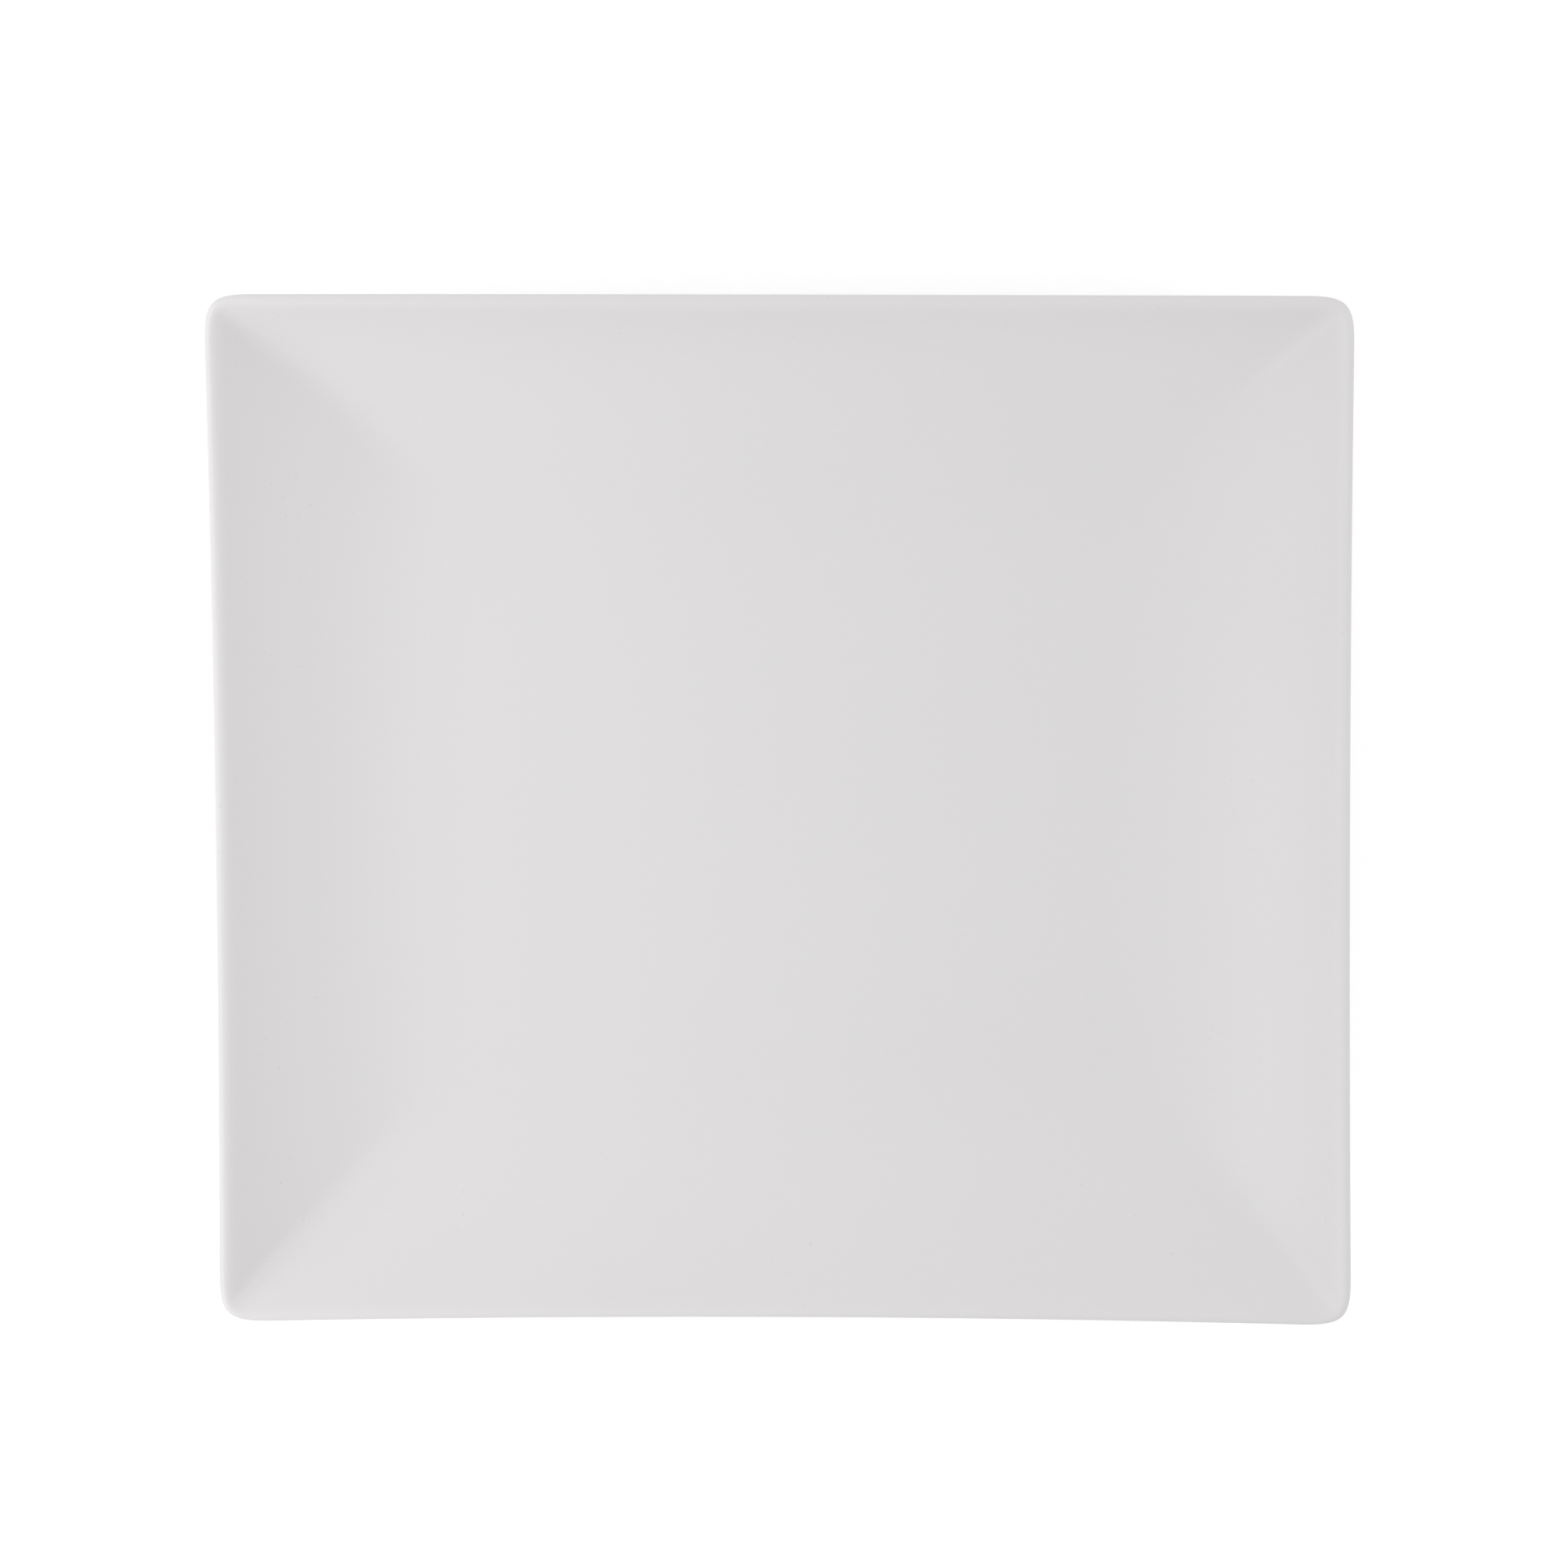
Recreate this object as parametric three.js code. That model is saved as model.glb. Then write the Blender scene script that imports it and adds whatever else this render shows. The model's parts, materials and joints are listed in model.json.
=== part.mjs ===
// A rectangular porcelain dinner plate: a dished body whose four sloping sides meet in soft mitred creases,
// a bare foot ring under it, and the fired glaze coats on its face and in the recess inside the foot.
// Millimetres, +Z up. The origin is the middle of the plane that the foot ring stands on.

import * as THREE from 'three';

// Driving dimensions: the rim in plan
const plateLength = 280;
const plateWidth = 262;
const rimCornerReach = 11.5; // how far from its corner each side of the rim starts to turn
const cornerTension = 0.84; // how tight a turn is in its middle: 0.55 makes it round, 1 nearly sharp
const sideBow = 0.6; // how far the middle of each side draws in from the line between its corners

// Driving dimensions: the section, from the rim in to the well
const crestWidth = 3.7; // of the lip from its level crest in to the dish, in plan
const edgeRadius = 1.3; // of the lip from its crest out to its outermost edge
const underRadius = 2.5; // of the lip from there back under to the flank
const dishDepth = 22; // from the crest at the middle of a side down to the well
const cornerLift = 3; // how far the rim rises from the middle of a side to its corners
const liftReach = 50; // how far in from the rim that rise has faded out
const bandWidth = 64; // from the outer edge of the rim to the well, in plan
const dishPower = 2.45; // how late the sides curve up: 2 is a parabola, more keeps the well flatter
const flankPower = 2; // the same for the underside
const floorThickness = 4.6; // porcelain under the well, without glaze
const creaseReach = 6; // how far to each side the mitred creases turn where they leave the rim
const wellCornerReach = 14; // how far the creases have opened at the well
const creasePower = 3; // how late they open

// Driving dimensions: the foot and the glaze
const footHeight = 3.5;
const footWidth = 5; // across the ring at its root
const footSetback = 8; // from the edge of the well out to the outside of the foot
const footCornerReach = 22; // how far from its corner the outside of the foot starts to turn
const footTaper = 0.5; // how far each wall of the foot leans in towards its tread
const footRound = 0.9; // radius of the two edges of the tread
const glazeThickness = 0.35;
const wipeGap = 0.3; // bare line left where glaze is wiped back from the foot

// Smoothness of the solids
const cornerSteps = 6;
const sideSteps = 8;
const dishSteps = 9;
const lipSteps = { inside: 3, outside: 3, under: 3 }; // to the crest, to the outermost edge, to the flank
const flankSteps = 7;
const treadSteps = 3;

// Places worked out from the dimensions
const footInset = bandWidth - footSetback;
const wellHeight = footHeight + floorThickness + glazeThickness;
const flankFoot = footHeight - glazeThickness; // height of the glazed flank where it reaches the foot
const crestHeight = wellHeight + dishDepth;
const edgeHeight = crestHeight - edgeRadius;
const dishEdge = edgeRadius + crestWidth; // inset at which the lip has eased into the dish
const dishRun = bandWidth - dishEdge;
const dishSlope = dishDepth / (dishRun / dishPower + 2 * crestWidth / 3); // the steepest, where they meet
const cornerMiddle = (4 - 3 * cornerTension) / 8; // how far in a turn's middle lies, as a share of its reach
const reachLoss = (1 - Math.SQRT1_2) / cornerMiddle; // what a turn loses for each mm inwards on an even wall

const quarterTurn = Math.PI / 2;
const tangentRounds = 40; // rounds that settle the slope where the lip meets the flank
const corners = [[1, 1], [-1, 1], [-1, -1], [1, -1]];

// How close each point of an outline is to a corner: 1 on the turns, 0 at the middle of a side.
const cornerShares = corners.flatMap(() => [
  ...Array.from({ length: cornerSteps + 1 }, () => 1),
  ...Array.from({ length: sideSteps - 1 }, (_, step) => (2 * (step + 1) / sideSteps - 1) ** 2),
]);

// Plan outline at a distance in from the rim, anticlockwise from above: eased turns joined by bowed sides.
function outline(inset, reach) {
  const half = new THREE.Vector2(plateLength / 2 - inset, plateWidth / 2 - inset);
  const along = Math.min(reach, half.x, half.y);
  const bow = sideBow * Math.max(0, 1 - inset / bandWidth);
  const turns = corners.map(([x, y]) => {
    const tip = new THREE.Vector2(x * half.x, y * half.y);
    const into = new THREE.Vector2(x - y, x + y).multiplyScalar(along / 2);
    const away = new THREE.Vector2(-x - y, x - y).multiplyScalar(along / 2);
    return new THREE.CubicBezierCurve(
      tip.clone().sub(into), tip.clone().addScaledVector(into, cornerTension - 1),
      tip.clone().addScaledVector(away, 1 - cornerTension), tip.clone().add(away));
  });
  return turns.flatMap((turn, index) => {
    const start = turn.getPoint(1);
    const end = turns[(index + 1) % turns.length].getPoint(0);
    const outward = new THREE.Vector2(end.y - start.y, start.x - end.x).normalize();
    const pulled = start.clone().add(end).multiplyScalar(0.5).addScaledVector(outward, -2 * bow);
    const side = new THREE.QuadraticBezierCurve(start, pulled, end);
    return [...turn.getPoints(cornerSteps), ...side.getPoints(sideSteps).slice(1, -1)];
  });
}

// A station is one ring of the plate: its plan inset and the reach of its corners, its height at the middle
// of a side, the rise at its corners, and the lean of its surface from straight up, positive outwards.
function ring({ inset, height, reach, lift = 0 }) {
  return outline(inset, reach).map((point, index) =>
    new THREE.Vector3(point.x, point.y, height + lift * cornerShares[index]));
}

// The same station one coat of glaze deeper, on the porcelain.
function underGlaze(station) {
  const shift = glazeThickness * Math.sin(station.lean);
  return {
    ...station,
    inset: station.inset + shift,
    reach: station.reach - reachLoss * shift,
    height: station.height - glazeThickness * Math.cos(station.lean),
  };
}

// Angle of the underside where it leaves the rounded lip, so that arc and curve share a tangent there.
function slopeUnderLip() {
  let slope = 0;
  for (let round = 0; round < tangentRounds; round += 1) {
    const drop = edgeHeight - underRadius * Math.cos(slope) - flankFoot;
    slope = Math.atan(flankPower * drop / (footInset - underRadius * (1 - Math.sin(slope))));
  }
  return slope;
}

const stepsBetween = (from, to, count) =>
  Array.from({ length: count + 1 }, (_, step) => from + (to - from) * step / count);

// The corners rise most at the crest, and their rise fades out on the way in.
const liftAt = (inset) => cornerLift * Math.max(0, 1 - Math.max(inset, edgeRadius) / liftReach) ** 2;

// The creases start tight inside the lip and open out as the dish flattens into the well.
function creaseReachAt(inset) {
  const opening = (wellCornerReach - creaseReach) * (inset / bandWidth) ** creasePower;
  return Math.max(rimCornerReach - reachLoss * inset, creaseReach + opening);
}

// Stations of the glazed surface from the edge of the well, over the rim and down to the foot.
function glazedStations() {
  const underSlope = slopeUnderLip();
  const flankEdge = underRadius * (1 - Math.sin(underSlope));
  const flankRise = Math.tan(underSlope) * (footInset - flankEdge) / flankPower;
  const upper = (inset, height, lean) =>
    ({ inset, height, reach: creaseReachAt(inset), lift: liftAt(inset), lean });

  const dish = stepsBetween(bandWidth, dishEdge, dishSteps).map((inset) => {
    const share = (bandWidth - inset) / dishRun;
    const slope = dishSlope * share ** (dishPower - 1);
    return upper(inset, wellHeight + slope * share * dishRun / dishPower, -Math.atan(slope));
  });
  const crest = stepsBetween(1, 0, lipSteps.inside).slice(1).map((share) => {
    const slope = dishSlope * (1 - (1 - share) ** 2);
    const drop = dishSlope * crestWidth * (share ** 2 - share ** 3 / 3);
    return upper(edgeRadius + crestWidth * share, crestHeight - drop, -Math.atan(slope));
  });
  const arc = (radius, leans) => leans.map((lean) =>
    upper(radius * (1 - Math.sin(lean)), edgeHeight + radius * Math.cos(lean), lean));
  const lip = [
    ...crest,
    ...arc(edgeRadius, stepsBetween(0, quarterTurn, lipSteps.outside).slice(1)),
    ...arc(underRadius, stepsBetween(quarterTurn, Math.PI - underSlope, lipSteps.under).slice(1, -1)),
  ];
  const flank = stepsBetween(flankEdge, footInset - wipeGap, flankSteps).map((inset) => {
    const share = (footInset - inset) / (footInset - flankEdge);
    return {
      inset,
      height: flankFoot + flankRise * share ** flankPower,
      reach: THREE.MathUtils.mapLinear(inset, 0, footInset, rimCornerReach, footCornerReach),
      lift: liftAt(inset),
      lean: Math.PI - Math.atan(Math.tan(underSlope) * share ** (flankPower - 1)),
    };
  });
  return [...dish, ...lip, ...flank];
}

// Skin over a run of rings that goes out over the top and back underneath. Each four-sided face is split
// along its shorter diagonal, so that two pieces which share rings meet on the same triangles. A solid run is
// capped at its two ends by fans about their middles; a looped run joins its last ring to its first.
function skin(rings, looped = false) {
  const count = rings[0].length;
  const points = rings.flat();
  const faces = [];
  const spans = looped ? rings.length : rings.length - 1;
  for (let span = 0; span < spans; span += 1) {
    const near = span * count;
    const far = ((span + 1) % rings.length) * count;
    for (let index = 0; index < count; index += 1) {
      const next = (index + 1) % count;
      const [a, b, c, d] = [near + index, far + index, far + next, near + next];
      const acrossAC = points[a].distanceToSquared(points[c]) < points[b].distanceToSquared(points[d]);
      faces.push(...(acrossAC ? [a, b, c, a, c, d] : [a, b, d, b, c, d]));
    }
  }
  if (!looped) {
    const top = points.length;
    const last = (rings.length - 1) * count;
    points.push(new THREE.Vector3(0, 0, rings[0][0].z), new THREE.Vector3(0, 0, rings.at(-1)[0].z));
    for (let index = 0; index < count; index += 1) {
      const next = (index + 1) % count;
      faces.push(top, index, next, top + 1, last + next, last + index);
    }
  }
  const geometry = new THREE.BufferGeometry().setFromPoints(points);
  geometry.setIndex(faces);
  geometry.computeVertexNormals();
  return geometry;
}

function piece(name, geometry, material) {
  const mesh = new THREE.Mesh(geometry, material);
  mesh.name = name;
  return mesh;
}

const glazed = glazedStations();
const porcelain = glazed.map(underGlaze);

// Fired porcelain: well, sloping sides and rim in one, flat underneath where the foot joins.
function porcelainBody() {
  const base = { inset: footInset, height: footHeight, reach: footCornerReach };
  const fired = new THREE.MeshStandardMaterial({ color: 0xe3dfda, roughness: 0.75, metalness: 0 });
  return piece('porcelain_body', skin([...porcelain, base].map(ring)), fired);
}

// Glaze over the well, the sides, the rim and the flank, down to the line wiped clear above the foot.
function faceGlaze() {
  const satin = new THREE.MeshStandardMaterial({ color: 0xdddbdc, roughness: 0.42, metalness: 0 });
  return piece('face_glaze', skin([...glazed, ...porcelain.toReversed()].map(ring)), satin);
}

// Glaze in the recess inside the foot ring.
function recessGlaze() {
  const setIn = footWidth + wipeGap;
  const edge = { inset: footInset + setIn, reach: footCornerReach - reachLoss * setIn };
  const levels = [footHeight, footHeight - glazeThickness].map((height) => ({ ...edge, height }));
  const satin = new THREE.MeshStandardMaterial({ color: 0xdddbdc, roughness: 0.42, metalness: 0 });
  return piece('recess_glaze', skin(levels.map(ring)), satin);
}

// Bare foot ring: its walls lean in a little and its tread is flat between two rounded edges.
function footRing() {
  const across = (offset, height) => ({
    inset: footInset + offset,
    height,
    reach: footCornerReach - reachLoss * offset,
  });
  const leanIn = Math.atan(footTaper / footHeight);
  const outerEdge = stepsBetween(leanIn, quarterTurn, treadSteps).map((turn) => across(
    footTaper + footRound * (1 - Math.cos(turn)), footRound * (1 - Math.sin(turn))));
  const innerEdge = stepsBetween(quarterTurn, leanIn, treadSteps).map((turn) => across(
    footWidth - footTaper - footRound * (1 - Math.cos(turn)), footRound * (1 - Math.sin(turn))));
  const section = [across(footWidth, footHeight), across(0, footHeight), ...outerEdge, ...innerEdge];
  const biscuit = new THREE.MeshStandardMaterial({ color: 0xd9d1c6, roughness: 0.85, metalness: 0 });
  return piece('foot_ring', skin(section.map(ring), true), biscuit);
}

const plate = new THREE.Group();
plate.name = 'porcelain_plate';
plate.add(porcelainBody(), faceGlaze(), recessGlaze(), footRing());

export default plate;
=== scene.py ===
"""A rectangular porcelain plate in plain studio light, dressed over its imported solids.

The plate is one fired pot in four layers: the porcelain body, the satin glaze over its face and flank, the
glaze in the recess inside its foot, and the bare foot ring. Lengths are metres in the plate's own frame:
+Z up out of the well, +X along the longer sides, the origin under the middle of the foot.
"""

import json
import logging
import math
from dataclasses import dataclass, replace
from enum import Enum

import bmesh
import bpy
from mathutils import Matrix, Vector
from mathutils.geometry import interpolate_bezier


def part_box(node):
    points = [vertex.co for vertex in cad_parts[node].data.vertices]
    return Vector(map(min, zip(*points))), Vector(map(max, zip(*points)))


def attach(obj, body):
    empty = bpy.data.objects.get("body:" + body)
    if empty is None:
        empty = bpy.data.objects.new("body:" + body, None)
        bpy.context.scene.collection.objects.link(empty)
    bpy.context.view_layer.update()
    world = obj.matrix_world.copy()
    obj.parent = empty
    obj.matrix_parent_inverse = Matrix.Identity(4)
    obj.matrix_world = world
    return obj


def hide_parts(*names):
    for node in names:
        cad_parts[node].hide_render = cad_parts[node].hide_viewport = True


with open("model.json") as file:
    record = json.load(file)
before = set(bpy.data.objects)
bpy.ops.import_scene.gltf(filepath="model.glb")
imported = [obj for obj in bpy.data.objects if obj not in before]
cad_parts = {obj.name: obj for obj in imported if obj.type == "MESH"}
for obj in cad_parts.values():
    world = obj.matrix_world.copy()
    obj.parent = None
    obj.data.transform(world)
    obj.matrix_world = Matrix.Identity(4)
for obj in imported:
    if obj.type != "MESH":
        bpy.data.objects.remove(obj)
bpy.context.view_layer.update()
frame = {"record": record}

log = logging.getLogger("porcelain_plate")

Colour = tuple[float, float, float]
Span = tuple[float, float]
Socket = bpy.types.NodeSocket

MM = 0.001
QUARTER_TURN = math.pi / 2
BODY = "root"
CORNERS = ((1, 1), (-1, 1), (-1, -1), (1, -1))
TANGENT_ROUNDS = 40

GLAZE_DEPTH = "glaze_depth"
CERAMIC_IOR = 1.5
WHITE = (1.0, 1.0, 1.0, 1.0)

# Ranges that the patterns are stretched from and to
RISING: Span = (0.0, 1.0)
FALLING: Span = (1.0, 0.0)
CLOUD_SPAN: Span = (0.3, 0.7)
GRAIN_SPAN: Span = (0.25, 0.75)

# Sockets of a node that mixes colours
MIX_SHARE, MIX_FIRST, MIX_SECOND, MIX_RESULT = 0, 6, 7, 2


class Node(Enum):
    """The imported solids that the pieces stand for."""

    BODY = "porcelain_body"
    FACE = "face_glaze"
    RECESS = "recess_glaze"
    FOOT = "foot_ring"


class Slot(Enum):
    """The record's material slots."""

    FIRED = "fired_porcelain"
    GLAZE = "satin_glaze"
    BARE = "bare_porcelain"


def slot_colour(slot: Slot) -> Colour:
    """Look up the base colour that the record gives a material slot.

    Args:
        slot: The slot to look up.

    Returns:
        The colour in linear red, green and blue.
    """
    for material in frame["record"]["materials"]:
        if material["slot"] == slot.value:
            return tuple(material["base_color"])
    raise KeyError(slot.value)


def shaded(colour: Colour, factor: float) -> Colour:
    """Darken or lighten a colour by a factor."""
    return tuple(factor * part for part in colour)


def steps_between(first: float, last: float, count: int) -> list[float]:
    """Space values evenly from one end to the other.

    Args:
        first: The first value.
        last: The last value.
        count: How many steps lie between them.

    Returns:
        count + 1 values.
    """
    return [first + (last - first) * step / count for step in range(count + 1)]


@dataclass(frozen=True)
class Station:
    """One ring of the plate.

    Attributes:
        inset: Its distance in from the rim, in plan.
        height: Its height at the middle of a side.
        reach: How far from its corners its sides start to turn.
        lift: How far its corners rise above the middle of its sides.
        lean: The tilt of its surface from straight up, positive outwards.
        spread: What it keeps of its size when it is shrunk towards the middle of the plate.
        depth: How thick the glaze lies on it, as a share of a full coat.
        pool: What its corners add to that.
    """

    inset: float
    height: float
    reach: float
    lift: float = 0.0
    lean: float = 0.0
    spread: float = 1.0
    depth: float = 0.5
    pool: float = 0.0


@dataclass(frozen=True)
class Fineness:
    """How many bands each stretch of the glazed surface has, from the well over the rim to the foot."""

    well: int
    dish: int
    inside_lip: int
    outside_lip: int
    under_lip: int
    flank: int


@dataclass(frozen=True)
class PlateForm:
    """The plate's form: its outline in plan, and its section from the well over the rim to the foot.

    Attributes:
        length: Of the rim in plan, along X.
        width: Of the rim in plan, along Y.
        foot_inset: From the rim in to the outside of the foot.
        foot_height: Of the foot ring.
        glaze: The thickness of a coat of glaze.
        rim_reach: How far from its corner each side of the rim starts to turn.
        corner_tension: How tight a turn is in its middle: 0.55 makes it round, 1 nearly sharp.
        side_bow: How far the middle of each side draws in from the line between its corners.
        crest_width: Of the lip from its level crest in to the dish, in plan.
        edge_radius: Of the lip from its crest out to its outermost edge.
        under_radius: Of the lip from there back under to the flank.
        dish_depth: From the crest at the middle of a side down to the well.
        corner_lift: How far the rim rises from the middle of a side to its corners.
        lift_reach: How far in from the rim that rise has faded out.
        dish_power: How late the sides curve up: 2 is a parabola, more keeps the well flatter.
        flank_power: The same for the underside.
        floor_thickness: Of the porcelain under the well, without glaze.
        crease_reach: How far to each side the mitred creases turn where they leave the rim.
        well_reach: How far the creases have opened at the well.
        crease_power: How late they open.
        foot_setback: From the edge of the well out to the outside of the foot.
        foot_width: Across the foot ring at its root.
        foot_reach: How far from its corner the outside of the foot starts to turn.
        wipe_gap: The bare line left where glaze is wiped back from the foot.
        well_glaze: The share of a full coat on the well.
        rim_glaze: The share on the crest of the rim.
        thin_glaze: The share under the lip, and on the bead where the coat stops.
        foot_glaze: The share on the flank beside the foot.
        crease_pool: What the creases of the dish add to the share there.
        pool_power: How close to the corners that stays.
        corner_steps: How many steps a turn has.
        side_steps: How many steps a side has.
    """

    length: float
    width: float
    foot_inset: float
    foot_height: float
    glaze: float
    rim_reach: float = 11.5 * MM
    corner_tension: float = 0.84
    side_bow: float = 0.6 * MM
    crest_width: float = 3.7 * MM
    edge_radius: float = 1.3 * MM
    under_radius: float = 2.5 * MM
    dish_depth: float = 22 * MM
    corner_lift: float = 3 * MM
    lift_reach: float = 50 * MM
    dish_power: float = 2.45
    flank_power: float = 2.0
    floor_thickness: float = 4.6 * MM
    crease_reach: float = 6 * MM
    well_reach: float = 14 * MM
    crease_power: float = 3.0
    foot_setback: float = 8 * MM
    foot_width: float = 5 * MM
    foot_reach: float = 22 * MM
    wipe_gap: float = 0.3 * MM
    well_glaze: float = 0.6
    rim_glaze: float = 0.35
    thin_glaze: float = 0.3
    foot_glaze: float = 0.8
    crease_pool: float = 0.4
    pool_power: int = 12
    corner_steps: int = 20
    side_steps: int = 52

    @classmethod
    def from_frame(cls) -> "PlateForm":
        """Take the plan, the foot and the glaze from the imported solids.

        Returns:
            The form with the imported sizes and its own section.
        """
        face_low, face_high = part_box(Node.FACE.value)
        foot_low, foot_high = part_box(Node.FOOT.value)
        recess_low, recess_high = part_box(Node.RECESS.value)
        return cls(
            length=face_high.x - face_low.x,
            width=face_high.y - face_low.y,
            foot_inset=face_high.x - foot_high.x,
            foot_height=foot_high.z - foot_low.z,
            glaze=recess_high.z - recess_low.z,
        )

    @property
    def band(self) -> float:
        """Distance from the rim in to the well."""
        return self.foot_inset + self.foot_setback

    @property
    def well_height(self) -> float:
        """Height of the glazed well."""
        return self.foot_height + self.floor_thickness + self.glaze

    @property
    def flank_foot(self) -> float:
        """Height of the glazed flank where it reaches the foot."""
        return self.foot_height - self.glaze

    @property
    def crest_height(self) -> float:
        """Height of the crest at the middle of a side."""
        return self.well_height + self.dish_depth

    @property
    def edge_height(self) -> float:
        """Height of the outermost edge at the middle of a side."""
        return self.crest_height - self.edge_radius

    @property
    def dish_edge(self) -> float:
        """Inset at which the lip has eased into the dish."""
        return self.edge_radius + self.crest_width

    @property
    def dish_slope(self) -> float:
        """Steepest slope of the dish, where the lip has eased into it."""
        return self.dish_depth / ((self.band - self.dish_edge) / self.dish_power + 2 * self.crest_width / 3)

    @property
    def reach_loss(self) -> float:
        """What a corner's reach loses for each step inwards on a wall of even thickness."""
        middle = (4 - 3 * self.corner_tension) / 8
        return (1 - math.sqrt(0.5)) / middle

    @property
    def ring_count(self) -> int:
        """Number of points on a ring."""
        return len(CORNERS) * (self.corner_steps + self.side_steps)

    def slope_under_lip(self) -> float:
        """Settle the slope at which the flank leaves the rounded lip, so that both share a tangent there.

        Returns:
            The slope, in radians.
        """
        slope = 0.0
        for _ in range(TANGENT_ROUNDS):
            drop = self.edge_height - self.under_radius * math.cos(slope) - self.flank_foot
            run = self.foot_inset - self.under_radius * (1 - math.sin(slope))
            slope = math.atan(self.flank_power * drop / run)
        return slope

    def lift_at(self, inset: float) -> float:
        """Give the rise of the corners at an inset: most at the crest, and fading out on the way in."""
        return self.corner_lift * max(0.0, 1 - max(inset, self.edge_radius) / self.lift_reach) ** 2

    def crease_at(self, inset: float) -> float:
        """Give the reach of the creases at an inset: tight inside the lip, and opening towards the well."""
        opening = (self.well_reach - self.crease_reach) * (inset / self.band) ** self.crease_power
        return max(self.rim_reach - self.reach_loss * inset, self.crease_reach + opening)

    def upper(self, inset: float, height: float, lean: float, depth: float) -> Station:
        """Give a station of the dish or the lip, with the reach and the rise that its inset asks for."""
        return Station(inset, height, self.crease_at(inset), self.lift_at(inset), lean, depth=depth)

    def on_foot(self, offset: float, height: float) -> Station:
        """Give a station of the foot or the recess, at an offset in from the outside of the foot."""
        return Station(self.foot_inset + offset, height, self.foot_reach - self.reach_loss * offset)

    def well(self, steps: int) -> list[Station]:
        """Lay the flat floor of the well.

        Args:
            steps: How many rings it has inside its edge.

        Returns:
            Stations from near the middle to just inside the edge of the dish.
        """
        edge = Station(self.band, self.well_height, self.crease_at(self.band), depth=self.well_glaze)
        return [replace(edge, spread=(step + 1) / (steps + 1)) for step in range(steps)]

    def dish(self, steps: int) -> list[Station]:
        """Curve the sides up from the well to the lip.

        Args:
            steps: How many bands the curve has.

        Returns:
            Stations from the edge of the well to the tangent point on the lip.
        """
        run = self.band - self.dish_edge
        stations = []
        for inset in steps_between(self.band, self.dish_edge, steps):
            share = (self.band - inset) / run
            slope = self.dish_slope * share ** (self.dish_power - 1)
            height = self.well_height + slope * share * run / self.dish_power
            depth = self.well_glaze + (self.rim_glaze - self.well_glaze) * share
            station = self.upper(inset, height, -math.atan(slope), depth)
            stations.append(replace(station, pool=self.crease_pool))
        return stations

    def crest(self, steps: int) -> list[Station]:
        """Ease the dish over into the level crest of the lip.

        Args:
            steps: How many bands the curve has.

        Returns:
            Stations from past the tangent point on the dish to the crest.
        """
        stations = []
        for share in steps_between(1.0, 0.0, steps)[1:]:
            slope = self.dish_slope * (1 - (1 - share) ** 2)
            drop = self.dish_slope * self.crest_width * (share**2 - share**3 / 3)
            inset = self.edge_radius + self.crest_width * share
            stations.append(self.upper(inset, self.crest_height - drop, -math.atan(slope), self.rim_glaze))
        return stations

    def edge(self, outside: int, under: int) -> list[Station]:
        """Round the edge from the crest out and back under to the flank.

        Args:
            outside: How many steps lead from the crest to the outermost edge.
            under: How many lead from there to the flank.

        Returns:
            Stations from past the crest to before the tangent point on the flank.
        """
        arcs = (
            (self.edge_radius, steps_between(0.0, QUARTER_TURN, outside)[1:]),
            (self.under_radius, steps_between(QUARTER_TURN, math.pi - self.slope_under_lip(), under)[1:-1]),
        )
        stations = []
        for radius, leans in arcs:
            for lean in leans:
                inset = radius * (1 - math.sin(lean))
                height = self.edge_height + radius * math.cos(lean)
                stations.append(self.upper(inset, height, lean, self.rim_glaze * (1 - math.sin(lean))))
        return stations

    def flank(self, steps: int) -> list[Station]:
        """Curve the underside from the lip down to the line wiped clear above the foot.

        Args:
            steps: How many bands the curve has.

        Returns:
            Stations from the tangent point under the lip to the wiped line.
        """
        slope = self.slope_under_lip()
        edge = self.under_radius * (1 - math.sin(slope))
        run = self.foot_inset - edge
        rise = math.tan(slope) * run / self.flank_power
        stations = []
        for inset in steps_between(edge, self.foot_inset - self.wipe_gap, steps):
            share = (self.foot_inset - inset) / run
            stations.append(Station(
                inset=inset,
                height=self.flank_foot + rise * share**self.flank_power,
                reach=self.rim_reach + (self.foot_reach - self.rim_reach) * inset / self.foot_inset,
                lift=self.lift_at(inset),
                lean=math.pi - math.atan(math.tan(slope) * share ** (self.flank_power - 1)),
                depth=self.foot_glaze + (self.thin_glaze - self.foot_glaze) * share,
            ))
        return stations

    def glazed(self, fineness: Fineness) -> list[Station]:
        """Lay the whole glazed surface.

        Args:
            fineness: How many bands each stretch of it has.

        Returns:
            Stations from near the middle of the well, over the rim and down to the wiped line.
        """
        return [
            *self.well(fineness.well),
            *self.dish(fineness.dish),
            *self.crest(fineness.inside_lip),
            *self.edge(fineness.outside_lip, fineness.under_lip),
            *self.flank(fineness.flank),
        ]

    def under_glaze(self, station: Station, share: float = 1.0) -> Station:
        """Sink a station through the glaze.

        Args:
            station: A station on the glazed surface.
            share: How far through the glaze it goes, 1 being down on the porcelain.

        Returns:
            The sunken station.
        """
        drop = self.glaze * share
        shift = drop * math.sin(station.lean)
        return replace(
            station,
            inset=station.inset + shift,
            reach=station.reach - self.reach_loss * shift,
            height=station.height - drop * math.cos(station.lean),
        )

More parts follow.
